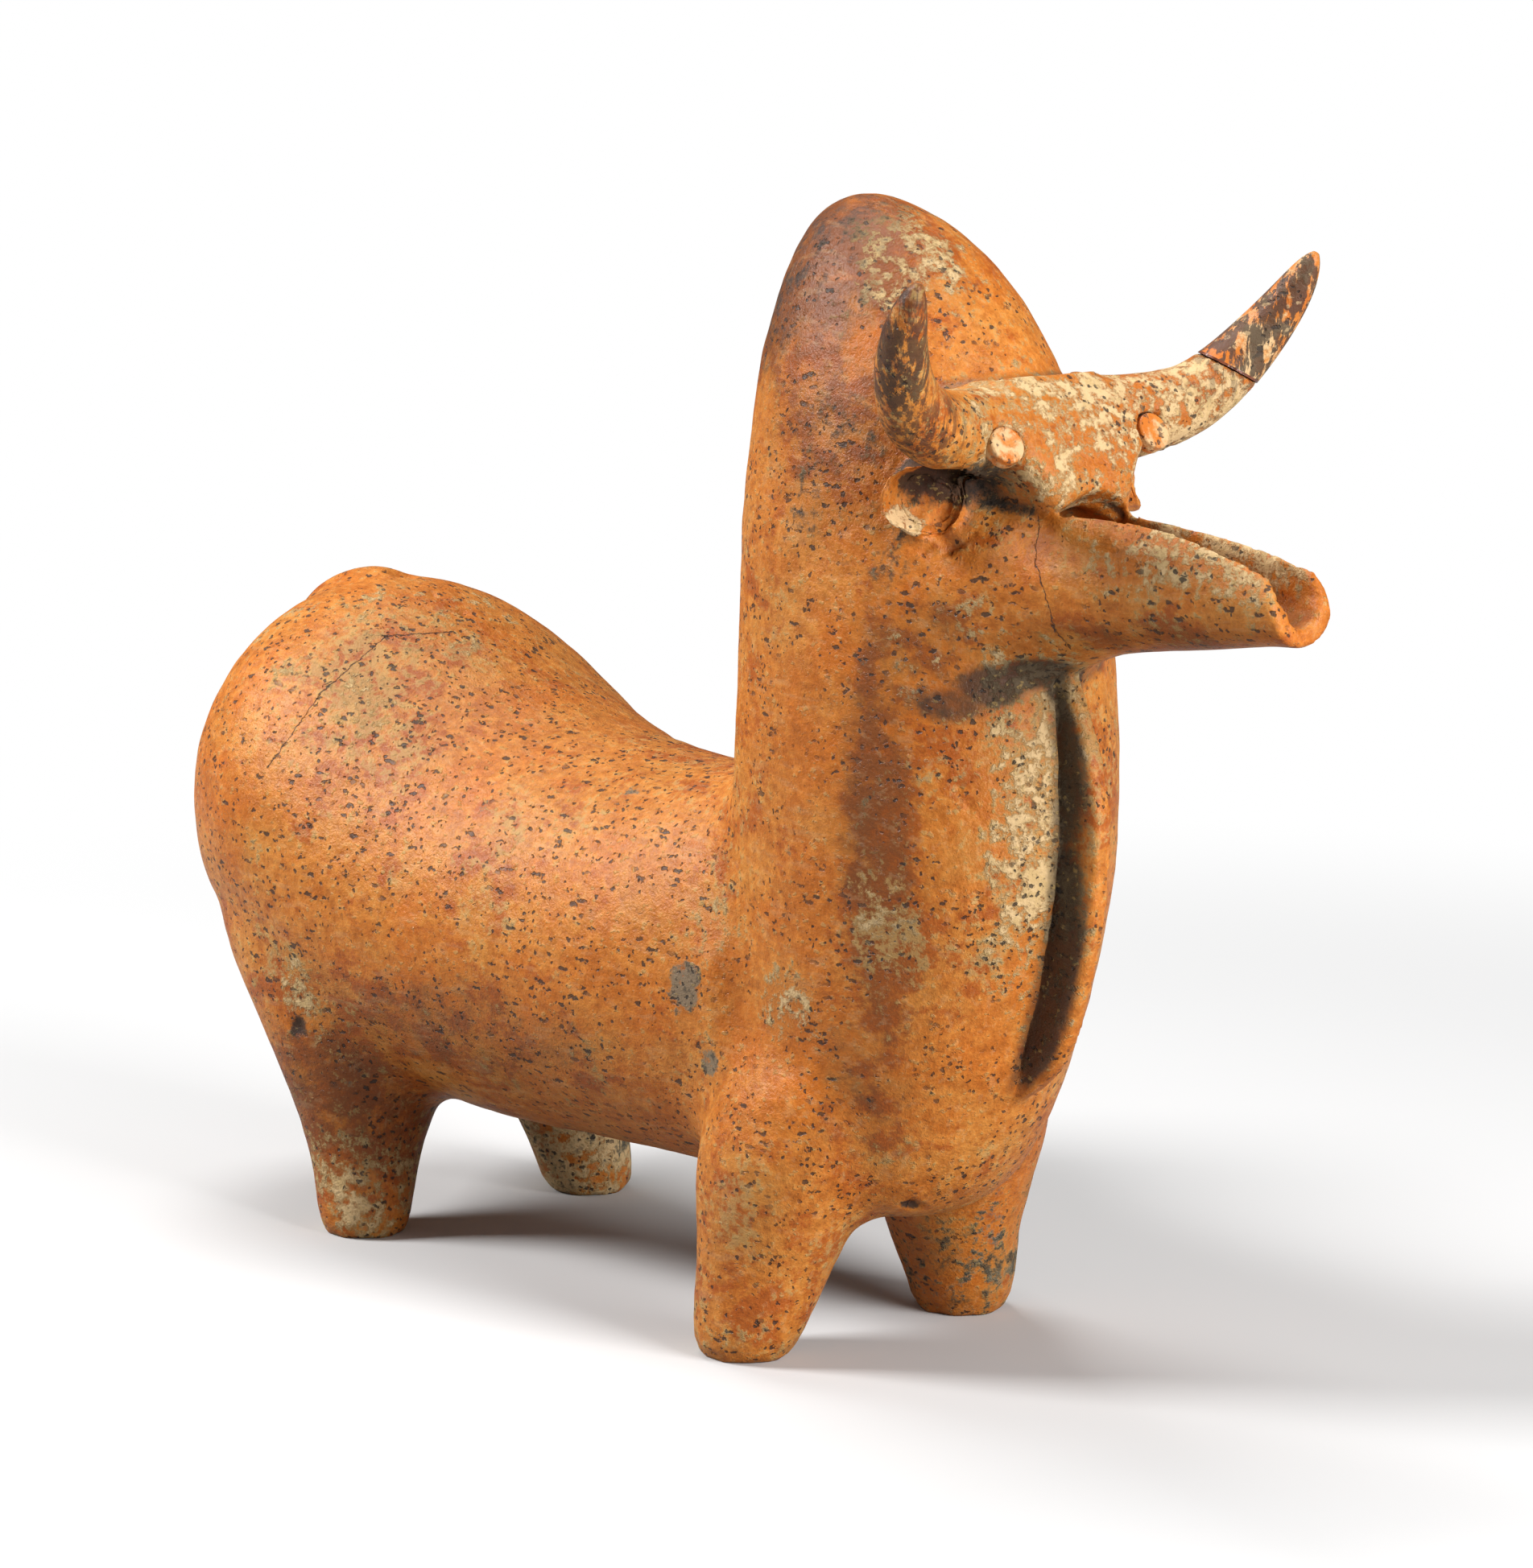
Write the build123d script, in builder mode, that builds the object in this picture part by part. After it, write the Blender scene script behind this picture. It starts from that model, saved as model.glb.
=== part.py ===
"""Hollow fired-clay vessel in the shape of a humped bull, made of the potter's separate pieces.

Millimetres, +Z up, +X towards the spout, +Y to the animal's left. The origin is at the
middle of the bounding box's base, on the plane that the four feet stand on.
"""

import math
import os

from build123d import *

left = 1
right = -1
side_words = ((left, "left"), (right, "right"))

# Walls
shell_wall = 6.5
spout_wall = 3.4

# Body, from the rump forwards: place along X, height of the middle, half width, half height
body_rings = [
    (-177.0, 94.4, 4.0, 4.0),
    (-175.6, 94.5, 12.0, 12.0),
    (-171.0, 94.8, 24.5, 26.0),
    (-162.0, 96.0, 36.5, 37.0),
    (-147.0, 97.2, 48.0, 48.2),
    (-127.0, 95.8, 54.3, 52.3),
    (-105.0, 88.0, 54.8, 53.3),
    (-82.0, 80.4, 52.0, 50.8),
    (-57.0, 76.4, 48.2, 47.4),
    (-29.0, 75.5, 44.8, 45.3),
    (3.0, 76.4, 41.0, 45.8),
    (35.0, 77.2, 36.0, 43.8),
]

# Neck and hump, from the brisket upwards: height, middle along X, half length, half width
neck_rings = [
    (31.0, 51.5, 8.0, 9.0),
    (33.5, 51.0, 21.0, 19.0),
    (40.0, 51.0, 29.5, 26.5),
    (52.0, 51.5, 37.3, 30.8),
    (72.0, 56.0, 41.8, 33.8),
    (98.0, 60.5, 45.2, 36.0),
    (128.0, 62.5, 46.3, 36.8),
    (160.0, 61.8, 44.0, 36.0),
    (190.0, 59.8, 40.8, 33.8),
    (212.0, 57.0, 36.0, 29.6),
    (230.0, 52.8, 28.0, 22.8),
    (242.0, 48.3, 18.6, 15.2),
    (248.3, 45.0, 8.5, 7.0),
    (250.0, 44.2, 2.5, 2.0),
]

# How many rings at the closed ends of the two forms have no cavity inside them
rump_solid_ring_count = 2
brisket_solid_ring_count = 3
hump_solid_ring_count = 2

# Vent hole pricked under the brisket
vent_above_brisket = 2.5
vent_forward = 8.0
vent_radius = 2.4
vent_depth = 5.0
vent_slope = 63.0

# Spout, from inside the neck to the lip: place along X, height of the middle, half width, half height
spout_tip_x = 177.0
spout_rings = [
    (73.0, 164.0, 33.0, 36.0),
    (91.0, 169.0, 26.0, 28.0),
    (105.0, 173.0, 19.6, 20.5),
    (121.0, 175.2, 15.5, 15.5),
    (141.0, 176.2, 13.0, 12.8),
    (160.0, 176.7, 10.6, 10.6),
    (spout_tip_x, 176.2, 7.8, 7.8),
]
spout_break_x = 113.0

# The trough's mouth, open upwards: distance back from the tip and half width
slot_edge = [(66.0, 10.5), (59.0, 9.0), (47.0, 7.4), (27.0, 6.6), (-1.0, 5.2)]
slot_cut_height = 30.0

# The trough's walls fall to the lip in a curve: distance back from the tip and height over its middle
lip_fall = [(9.5, 10.3), (7.0, 8.6), (4.5, 6.2), (2.0, 2.8), (0.4, -1.2), (-1.0, -4.5)]

# Head, from the bridge of the nose upwards: height, front along X, half width
head_back_x = 77.0
head_corner = 6.0
crest_slope = 14.0
head_rings = [
    (184.0, 115.5, 10.6),
    (190.0, 117.0, 11.5),
    (197.0, 115.3, 15.0),
    (201.0, 113.5, 18.5),
    (205.0, 111.5, 23.0),
    (209.5, 108.5, 25.5),
    (213.5, 105.0, 22.0),
    (216.3, 101.5, 16.0),
]

# Throat under the face: distance forward of the nose, height of the middle, half width, half height
throat_rings = [(-25.0, 174.0, 8.0, 7.0), (-14.0, 177.0, 9.0, 7.6), (-5.0, 182.0, 9.8, 9.0), (7.0, 186.6, 10.4, 10.4)]

# Horns, from the root to the tip: forward of the crest, out from the middle, above the crest; radius
horn_rings = [
    ((-6.5, 12.0, -10.3), 9.8),
    ((-1.0, 22.0, -10.5), 9.0),
    ((2.0, 32.5, -8.5), 8.0),
    ((5.0, 41.5, -3.7), 7.0),
    ((9.5, 48.2, 4.2), 5.9),
    ((15.5, 52.6, 13.7), 4.4),
    ((19.8, 54.0, 20.5), 2.6),
    ((21.7, 54.3, 23.5), 0.8),
]
horn_break_ring_number = 3
horn_break_share = 0.35
horn_break_outward = (0.22, 0.42, 0.88)
glue_thickness = 0.5

# Eyes: discs of clay set in sockets in the corners of the face
eye_under_crest = 12.0
eye_apart = 20.3
eye_sink = 0.4
eye_outward = (0.87, 0.08, 0.48)
eye_radius = 4.0
eye_thickness = 3.2
eye_rounding = 0.6
eye_groove = 0.35

# Ears: hollow stumps on the neck, under the horns
ear_under_crest = 25.3
ear_round_neck = 42.0
ear_outward = (0.5, 0.85, 0.1)
ear_root_radius = 8.2
ear_rim_radius = 6.8
ear_wall = 1.6
ear_root_wall = 2.9
ear_root_depth = 12.0
ear_cup_depth = 8.0
ear_stand = 12.5

# Dewlap: a fin down the front of the neck: height and how far it stands out
dewlap_thickness = 4.2
dewlap_root_depth = 24.0
dewlap_edge = [
    (154.0, 3.2),
    (141.5, 7.3),
    (130.0, 9.9),
    (113.0, 11.4),
    (101.5, 10.9),
    (85.0, 10.8),
    (73.0, 8.9),
    (64.9, 4.7),
    (61.0, -0.5),
]

# Tail: a roll pressed on over the rump: place along X, depth of its middle under the back, radius
tail_rings = [
    (-122.0, 6.6, 6.0),
    (-131.0, 7.1, 9.0),
    (-144.0, 7.3, 11.5),
    (-156.0, 6.6, 11.5),
    (-166.5, 9.8, 9.0),
    (-169.5, 23.8, 6.0),
    (-168.0, 38.9, 4.5),
]

# Legs, from the sole upwards: height, middle along X, middle along Y, half length, half width
front_leg_rings = [
    (0.0, 39.0, 31.0, 9.9, 9.6),
    (3.0, 39.4, 30.8, 11.8, 10.8),
    (16.0, 40.8, 27.8, 15.0, 13.4),
    (32.0, 43.3, 24.7, 19.2, 17.0),
    (50.0, 47.3, 21.7, 23.6, 19.2),
    (72.0, 52.0, 15.5, 25.0, 18.0),
    (84.0, 56.0, 12.0, 20.0, 14.0),
]
rear_leg_rings = [
    (0.0, -100.4, 33.0, 9.2, 9.5),
    (3.0, -100.8, 32.9, 10.4, 10.7),
    (16.0, -103.0, 31.0, 12.2, 13.2),
    (32.0, -106.0, 28.2, 17.0, 18.3),
    (50.0, -110.5, 27.0, 26.0, 23.0),
    (70.0, -118.0, 26.0, 34.5, 25.0),
    (88.0, -120.0, 22.0, 30.0, 22.0),
    (100.0, -120.0, 18.0, 22.0, 16.0),
]


def between(rings, place):
    """The ring of a form at any place along it, in a straight line between its neighbours."""
    for before, after in zip(rings, rings[1:]):
        if before[0] <= place <= after[0]:
            share = (place - before[0]) / (after[0] - before[0])
            return [low + share * (high - low) for low, high in zip(before, after)]
    raise ValueError(f"no ring at {place}")


def neck_front(height):
    """How far forward the neck reaches at a height."""
    _, middle_x, half_length, _ = between(neck_rings, height)
    return middle_x + half_length


def back_height(x):
    """How high the back is at a place along X."""
    _, middle, _, half_height = between(body_rings, x)
    return middle + half_height


def on_side(point, side):
    """A place or a direction given for the left side, taken to either side."""
    return (point[0], side * point[1], point[2])


def lengthwise_form(rings, inset=0):
    """Loft of upright ellipses that follow each other along X."""
    with BuildPart(mode=Mode.PRIVATE) as form:
        for x, height, half_width, half_height in rings:
            with BuildSketch(Plane(origin=(x, 0, height), x_dir=(0, 1, 0), z_dir=(1, 0, 0))):
                Ellipse(half_width - inset, half_height - inset)
        loft()
    return form.part


def upright_form(rings, inset=0):
    """Loft of level ellipses that follow each other upwards on the middle plane."""
    with BuildPart(mode=Mode.PRIVATE) as form:
        for height, middle_x, half_length, half_width in rings:
            with BuildSketch(Plane(origin=(middle_x, 0, height))):
                Ellipse(half_length - inset, half_width - inset)
        loft()
    return form.part


def leg_form(rings, side):
    """Loft of level ellipses from the sole up into the body."""
    with BuildPart(mode=Mode.PRIVATE) as form:
        for height, middle_x, middle_y, half_length, half_width in rings:
            with BuildSketch(Plane(origin=(middle_x, side * middle_y, height))):
                Ellipse(half_length, half_width)
        loft()
    return form.part


def tapered_roll(middles, radii, seam):
    """Loft of circles square to the line through their middles; seam is where each one starts."""
    with BuildPart(mode=Mode.PRIVATE) as form:
        for index, radius in enumerate(radii):
            before = middles[max(index - 1, 0)]
            after = middles[min(index + 1, len(middles) - 1)]
            with BuildSketch(Plane(origin=middles[index], x_dir=seam, z_dir=after - before)):
                Circle(radius)
        loft()
    return form.part


def head_form():
    """Loft of rounded rectangles from the bridge of the nose up to the crest, which falls off behind."""
    with BuildPart(mode=Mode.PRIVATE) as form:
        for height, front_x, half_width in head_rings:
            length = front_x - head_back_x
            with BuildSketch(Plane(origin=(head_back_x + length / 2, 0, height))):
                RectangleRounded(length, 2 * half_width, head_corner)
        loft()
        slant = math.radians(crest_slope)
        top_height, top_front_x, _ = head_rings[-1]
        crest_plane = Plane(origin=(top_front_x, 0, top_height), z_dir=(-math.sin(slant), 0, math.cos(slant)))
        split(bisect_by=crest_plane, keep=Keep.BOTTOM)
    return form.part


nose_x = max(front_x for _, front_x, _ in head_rings)
crest_height, crest_x, _ = head_rings[-1]
brisket_height = neck_rings[0][0]

body_outer = lengthwise_form(body_rings)
body_inner = lengthwise_form(body_rings[rump_solid_ring_count:], shell_wall)
neck_outer = upright_form(neck_rings)
neck_inner = upright_form(neck_rings[brisket_solid_ring_count:-hump_solid_ring_count], shell_wall)
spout_outer = lengthwise_form(spout_rings)
spout_inner = lengthwise_form(spout_rings, spout_wall)
throat = lengthwise_form([(nose_x + forward, *shape) for forward, *shape in throat_rings])
head_outer = head_form()

horns = {}
horn_middles = {}
for side, word in side_words:
    horn_middles[side] = [
        Vector(crest_x + forward, side * out, crest_height + rise)
        for (forward, out, rise), radius in horn_rings
    ]
    horns[side] = tapered_roll(horn_middles[side], [radius for middle, radius in horn_rings], (1, 0, 0))

os.makedirs("parts", exist_ok=True)


def keep(piece, name):
    """Labels a finished piece and writes it."""
    piece.label = name
    export_step(piece, f"parts/{name}.step")


# Neck and hump: a hollow tower, open behind to the body and in front to the throat
vent_height = brisket_height + vent_above_brisket
_, vent_middle_x, _, _ = between(neck_rings, vent_height)
vent_slant = math.radians(vent_slope)
vent_plane = Plane(
    origin=(vent_middle_x + vent_forward, 0, vent_height),
    z_dir=(math.cos(vent_slant), 0, -math.sin(vent_slant)),
)
with BuildPart() as neck_and_hump:
    add(neck_outer)
    add(neck_inner, mode=Mode.SUBTRACT)
    add(body_inner, mode=Mode.SUBTRACT)
    add(spout_inner, mode=Mode.SUBTRACT)
    add(throat, mode=Mode.SUBTRACT)
    with BuildSketch(vent_plane.offset(-vent_depth)):
        Circle(vent_radius)
    extrude(amount=2 * vent_depth, mode=Mode.SUBTRACT)
keep(neck_and_hump.part, "neck_and_hump")

# Body: a hollow barrel, closed at the rump and luted to the back of the neck
with BuildPart() as body_barrel:
    add(body_outer)
    add(body_inner, mode=Mode.SUBTRACT)
    add(neck_outer, mode=Mode.SUBTRACT)
keep(body_barrel.part, "body_barrel")

for side, word in side_words:
    with BuildPart() as front_leg:
        add(leg_form(front_leg_rings, side))
        add(neck_outer, mode=Mode.SUBTRACT)
        add(body_outer, mode=Mode.SUBTRACT)
    keep(front_leg.part, f"front_{word}_leg")

    with BuildPart() as rear_leg:
        add(leg_form(rear_leg_rings, side))
        add(body_outer, mode=Mode.SUBTRACT)
    keep(rear_leg.part, f"rear_{word}_leg")

# Spout: a root luted to the neck, and past the old break a trough open along its top
with BuildPart() as spout_root:
    add(spout_outer)
    add(spout_inner, mode=Mode.SUBTRACT)
    add(neck_outer, mode=Mode.SUBTRACT)
    add(throat, mode=Mode.SUBTRACT)
    split(bisect_by=Plane.YZ.offset(spout_break_x), keep=Keep.BOTTOM)
keep(spout_root.part, "spout_root")

tip_height = spout_rings[-1][1]
with BuildPart() as pouring_spout:
    add(spout_outer)
    add(spout_inner, mode=Mode.SUBTRACT)
    split(bisect_by=Plane.YZ.offset(spout_break_x), keep=Keep.TOP)
    with BuildSketch(Plane.XY.offset(tip_height)):
        with BuildLine():
            near_edge = Spline(*[(spout_tip_x - back, -half_width) for back, half_width in slot_edge])
            far_edge = Spline(*[(spout_tip_x - back, half_width) for back, half_width in slot_edge])
            Line(near_edge @ 0, far_edge @ 0)
            Line(near_edge @ 1, far_edge @ 1)
        make_face()
    extrude(amount=slot_cut_height, mode=Mode.SUBTRACT)
    with BuildSketch(Plane.XZ):
        with BuildLine():
            fall = Spline(*[(spout_tip_x - back, tip_height + over) for back, over in lip_fall])
            fall_back, fall_front = fall @ 0, fall @ 1
            cut_top = tip_height + slot_cut_height
            Polyline(fall_front, (fall_front.X, cut_top), (fall_back.X, cut_top), fall_back)
        make_face()
    extrude(amount=slot_cut_height, both=True, mode=Mode.SUBTRACT)
keep(pouring_spout.part, "pouring_spout")

# Head: the brow and face, arched over the throat, with a socket for each eye
eye_height = crest_height - eye_under_crest
_, face_x_at_eyes, _ = between(head_rings, eye_height)
eye_planes = {}
eye_sockets = {}
for side, word in side_words:
    eye_planes[side] = Plane(
        origin=(face_x_at_eyes - eye_sink, side * eye_apart, eye_height),
        z_dir=on_side(eye_outward, side),
    )
    with BuildPart() as socket:
        with BuildSketch(eye_planes[side].offset(-eye_thickness)):
            Circle(eye_radius + eye_groove)
        extrude(amount=2 * eye_thickness)
    eye_sockets[side] = socket.part

with BuildPart() as head:
    add(head_outer)
    add(neck_outer, mode=Mode.SUBTRACT)
    add(spout_outer, mode=Mode.SUBTRACT)
    add(throat, mode=Mode.SUBTRACT)
    for side, word in side_words:
        add(eye_sockets[side], mode=Mode.SUBTRACT)
keep(head.part, "head")

for side, word in side_words:
    with BuildPart() as eye:
        with BuildSketch(eye_planes[side].offset(-eye_thickness)):
            Circle(eye_radius)
        extrude(amount=eye_thickness)
        outward = Axis(origin=(0, 0, 0), direction=on_side(eye_outward, side))
        fillet(eye.faces().sort_by(outward)[-1].edges(), eye_rounding)
    keep(eye.part, f"{word}_eye")

# Horns: the right one is whole, the left one is broken across and glued
with BuildPart() as right_horn:
    add(horns[right])
    add(head_outer, mode=Mode.SUBTRACT)
    add(neck_outer, mode=Mode.SUBTRACT)
    add(eye_sockets[right], mode=Mode.SUBTRACT)
keep(right_horn.part, "right_horn")

break_below, break_above = horn_middles[left][horn_break_ring_number : horn_break_ring_number + 2]
break_plane = Plane(
    origin=break_below + (break_above - break_below) * horn_break_share, z_dir=horn_break_outward
)
with BuildPart() as left_horn_base:
    add(horns[left])
    split(bisect_by=break_plane, keep=Keep.BOTTOM)
    add(head_outer, mode=Mode.SUBTRACT)
    add(neck_outer, mode=Mode.SUBTRACT)
    add(eye_sockets[left], mode=Mode.SUBTRACT)
keep(left_horn_base.part, "left_horn_base")

with BuildPart() as left_horn_tip:
    add(horns[left])
    split(bisect_by=break_plane.offset(glue_thickness), keep=Keep.TOP)
keep(left_horn_tip.part, "left_horn_tip")

with BuildPart() as horn_glue_line:
    add(horns[left])
    split(bisect_by=break_plane, keep=Keep.TOP)
    split(bisect_by=break_plane.offset(glue_thickness), keep=Keep.BOTTOM)
keep(horn_glue_line.part, "horn_glue_line")

# Ears: stumps with a blind cup, seated in the neck's side
ear_height = crest_height - ear_under_crest
_, ear_middle_x, ear_half_length, ear_half_width = between(neck_rings, ear_height)
ear_angle = math.radians(ear_round_neck)
ear_place = (
    ear_middle_x + ear_half_length * math.cos(ear_angle),
    ear_half_width * math.sin(ear_angle),
    ear_height,
)
for side, word in side_words:
    ear_plane = Plane(origin=on_side(ear_place, side), z_dir=on_side(ear_outward, side))
    with BuildPart() as ear_stump:
        with BuildSketch(ear_plane.offset(-ear_root_depth)):
            Circle(ear_root_radius)
        with BuildSketch(ear_plane.offset(ear_stand)):
            Circle(ear_rim_radius)
        loft()
        with BuildSketch(ear_plane.offset(ear_stand - ear_cup_depth)):
            Circle(ear_root_radius - ear_root_wall)
        with BuildSketch(ear_plane.offset(ear_stand)):
            Circle(ear_rim_radius - ear_wall)
        loft(mode=Mode.SUBTRACT)
        add(neck_outer, mode=Mode.SUBTRACT)
        add(head_outer, mode=Mode.SUBTRACT)
        add(spout_outer, mode=Mode.SUBTRACT)
        add(horns[side], mode=Mode.SUBTRACT)
    keep(ear_stump.part, f"{word}_ear_stump")

# Dewlap: a thin upright fin down the front of the neck
with BuildPart() as dewlap:
    with BuildSketch(Plane.XZ):
        with BuildLine():
            edge = Spline(*[(neck_front(height) + stand, height) for height, stand in dewlap_edge])
            root_x = neck_front(dewlap_edge[-1][0]) - dewlap_root_depth
            Polyline(edge @ 1, (root_x, dewlap_edge[-1][0]), (root_x, dewlap_edge[0][0]), edge @ 0)
        make_face()
    extrude(amount=dewlap_thickness / 2, both=True)
    add(neck_outer, mode=Mode.SUBTRACT)
    add(spout_outer, mode=Mode.SUBTRACT)
keep(dewlap.part, "dewlap")

# Tail: a roll of clay pressed on over the rump
tail_middles = [Vector(x, 0, back_height(x) - depth) for x, depth, radius in tail_rings]
with BuildPart() as tail:
    add(tapered_roll(tail_middles, [radius for x, depth, radius in tail_rings], (0, 1, 0)))
    add(body_outer, mode=Mode.SUBTRACT)
keep(tail.part, "tail")
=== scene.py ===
"""Looks of the humped-bull vessel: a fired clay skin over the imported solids, eyes, a mended horn and a studio."""

import math

import bmesh
import bpy
import numpy as np
from bpy.props import FloatProperty, FloatVectorProperty, IntProperty, PointerProperty
from bpy.types import Operator, Panel, PropertyGroup
from mathutils import Matrix, Vector, noise


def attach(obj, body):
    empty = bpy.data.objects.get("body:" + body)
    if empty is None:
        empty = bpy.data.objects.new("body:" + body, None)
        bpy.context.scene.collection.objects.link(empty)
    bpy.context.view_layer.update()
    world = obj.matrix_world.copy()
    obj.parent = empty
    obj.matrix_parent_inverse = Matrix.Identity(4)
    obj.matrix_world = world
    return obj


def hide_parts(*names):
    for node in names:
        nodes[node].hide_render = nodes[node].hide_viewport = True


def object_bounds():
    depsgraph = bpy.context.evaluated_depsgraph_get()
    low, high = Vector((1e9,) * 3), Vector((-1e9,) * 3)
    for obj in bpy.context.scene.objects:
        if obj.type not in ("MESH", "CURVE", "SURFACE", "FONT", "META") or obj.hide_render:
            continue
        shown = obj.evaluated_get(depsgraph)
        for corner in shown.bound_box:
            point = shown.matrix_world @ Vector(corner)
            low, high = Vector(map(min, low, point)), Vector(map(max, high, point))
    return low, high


bl_info = {
    "name": "Humped Bull Vessel",
    "version": (1, 0, 0),
    "blender": (4, 5, 0),
    "location": "3D View > Sidebar > Vessel",
    "description": "Dresses the packed vessel in burnished, worn and mended clay",
    "category": "Object",
}

MM = 0.001
CLAY_STOCK = "fired_clay_stock"

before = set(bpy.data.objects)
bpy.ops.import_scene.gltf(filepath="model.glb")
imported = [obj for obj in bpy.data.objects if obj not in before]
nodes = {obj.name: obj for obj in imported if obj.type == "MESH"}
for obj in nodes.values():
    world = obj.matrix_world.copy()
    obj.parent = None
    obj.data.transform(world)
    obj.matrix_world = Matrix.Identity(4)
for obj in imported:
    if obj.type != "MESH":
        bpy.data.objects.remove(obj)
cad_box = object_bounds()

# Solids that melt into one another when the clay is luted and smoothed while wet.
SOFT_JOINED = (
    "body_barrel", "neck_and_hump", "front_left_leg", "front_right_leg",
    "rear_left_leg", "rear_right_leg", "tail", "spout_root",
)
# Solids that keep a crisper line where they were pressed on.
CRISP_JOINED = (
    "pouring_spout", "head", "right_horn", "left_horn_base",
    "left_ear_stump", "right_ear_stump", "dewlap",
)

# Places on the vessel, in millimetres: middle and half sizes.
RIGHT_SOCKET = ((110.0, -20.3, 202.8), (7.5, 7.5, 7.5))
LEFT_SOCKET = ((110.0, 20.3, 202.8), (7.5, 7.5, 7.5))
RIGHT_EAR = ((91.0, -29.0, 191.5), (12.0, 12.0, 12.0))
LEFT_EAR = ((91.0, 29.0, 191.5), (12.0, 12.0, 12.0))
THROAT = ((112.0, 0.0, 180.0), (18.0, 14.0, 18.0))
TROUGH = ((152.0, 0.0, 182.0), (36.0, 16.0, 13.0))
VENT = ((72.8, -12.4, 36.5), (6.0, 6.0, 6.0))
TORN_PATCH = ((99.0, -25.5, 194.0), (13.0, 9.0, 8.0))
HORN_BREAK = ((104.0, 42.0, 212.0), (8.0, 8.0, 8.0))
SPOUT_FOLD = ((106.0, 0.0, 155.0), (14.0, 24.0, 6.0))
RIGHT_EAR_CUP = ((93.5, -28.0, 191.5), (7.5, 7.5, 7.5))
LEFT_EAR_CUP = ((93.5, 28.0, 191.5), (7.5, 7.5, 7.5))
KEPT_CRISP = (RIGHT_SOCKET, LEFT_SOCKET, RIGHT_EAR_CUP, LEFT_EAR_CUP, THROAT, TROUGH, VENT, HORN_BREAK, SPOUT_FOLD)

# Where lime and earth cling to the clay, and where highlights are painted, as marked below: middle, half sizes,
# strength.
PALE_PLACES = (
    ((108.0, 0.0, 204.0), (20.0, 32.0, 20.0), 0.8),
    ((112.0, 0.0, 196.0), (18.0, 22.0, 16.0), 0.5),
    ((106.0, 34.0, 208.0), (18.0, 26.0, 14.0), 1.0),
    ((106.0, -8.0, 132.0), (14.0, 13.0, 60.0), 0.75),
    ((96.0, -22.0, 145.0), (16.0, 12.0, 20.0), 0.3),
    ((84.0, -31.4, 103.4), (7.0, 10.0, 9.0), 0.5),
    ((58.4, -34.3, 77.2), (12.0, 12.0, 10.0), 0.6),
    ((103.2, -10.2, 95.2), (10.0, 7.0, 14.0), 0.6),
    # Painted highlights on the hip and the rump, laid as pale crust where the lamp's sheen falls.
    ((-108.0, -6.0, 143.0), (24.0, 22.0, 12.0), 0.5),
    ((-94.4, -34.1, 125.2), (16.0, 14.0, 12.0), 0.5),
    ((30.0, -36.0, 92.0), (14.0, 14.0, 14.0), 0.4),
    ((150.0, 0.0, 186.0), (34.0, 20.0, 14.0), 0.75),
    ((-128.0, -24.0, 128.0), (18.0, 18.0, 16.0), 0.45),
    ((-104.0, -49.0, 60.0), (10.0, 10.0, 14.0), 0.6),
    ((66.0, -8.0, 238.0), (16.0, 20.0, 20.0), 0.55),
    ((-102.0, 33.0, 26.0), (20.0, 22.0, 36.0), 1.15),
    ((-104.0, -32.0, 10.0), (20.0, 22.0, 22.0), 0.72),
    ((92.5, -31.0, 187.0), (6.0, 6.0, 5.5), 1.3),
    ((44.0, 28.0, 20.0), (20.0, 20.0, 26.0), 0.55),
    ((-177.0, 0.0, 96.0), (24.0, 36.0, 34.0), 0.3),
    ((33.0, -30.0, 3.0), (18.0, 18.0, 8.0), 0.55),
)
# Where smoke and burial darkened it, and where shade is painted, as marked below.
DARK_PLACES = (
    ((-104.0, -34.0, 24.0), (22.0, 22.0, 18.0), 0.25),
    # Painted shade under the right cheek, laid over some dark stain.
    ((104.0, -13.0, 190.5), (7.0, 5.0, 2.6), 0.7),
    ((111.0, -9.5, 189.5), (5.0, 4.0, 2.0), 0.7),
    # Painted shade in the shallow vent hole.
    ((72.8, -12.4, 36.5), (2.4, 2.4, 2.4), 1.3),
    ((-103.6, -49.2, 50.7), (3.0, 3.0, 3.0), 1.1),
    ((-102.0, 33.0, 30.0), (24.0, 24.0, 38.0), 0.5),
    ((42.0, 28.0, 20.0), (24.0, 22.0, 32.0), 0.55),
    # Painted shade in the hole of the broken right ear and under the right horn, laid over dark stain.
    ((90.0, -25.0, 196.5), (6.5, 6.0, 4.5), 1.4),
    ((101.0, -24.0, 194.0), (14.0, 10.0, 6.0), 1.2),
    ((88.0, -29.0, 180.0), (9.0, 9.0, 7.0), 0.5),
    ((68.0, -30.0, 200.0), (20.0, 16.0, 26.0), 0.3),
    ((36.0, -14.0, 238.0), (30.0, 26.0, 24.0), 0.55),
    ((20.0, -24.0, 200.0), (14.0, 16.0, 30.0), 0.3),
    # Painted shade in the throat, whose hollow is shut off behind it.
    ((110.0, 0.0, 178.0), (14.0, 9.0, 12.0), 0.9),
    ((86.0, -31.0, 125.0), (8.0, 9.0, 34.0), 0.25),
)
# The groove beside the dewlap: pressed into the clay, with painted shade laid in it.
GROOVE_PLACES = (
    ((107.5, -2.2, 134.0), (9.0, 0.9, 20.0), 1.0),
    ((107.5, -2.2, 100.0), (9.0, 0.9, 26.0), 1.0),
    ((102.0, -2.3, 76.0), (9.0, 0.8, 14.0), 0.9),
)
# Painted shade in the fold where the spout leaves the chest.
SHADED_FOLD_PLACES = (
    ((97.1, -23.1, 149.0), (9.0, 8.0, 4.0), 0.75),
    ((102.5, -16.3, 153.0), (8.0, 8.0, 4.5), 1.0),
    ((107.5, -8.0, 155.5), (8.0, 8.0, 4.0), 1.1),
)
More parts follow.
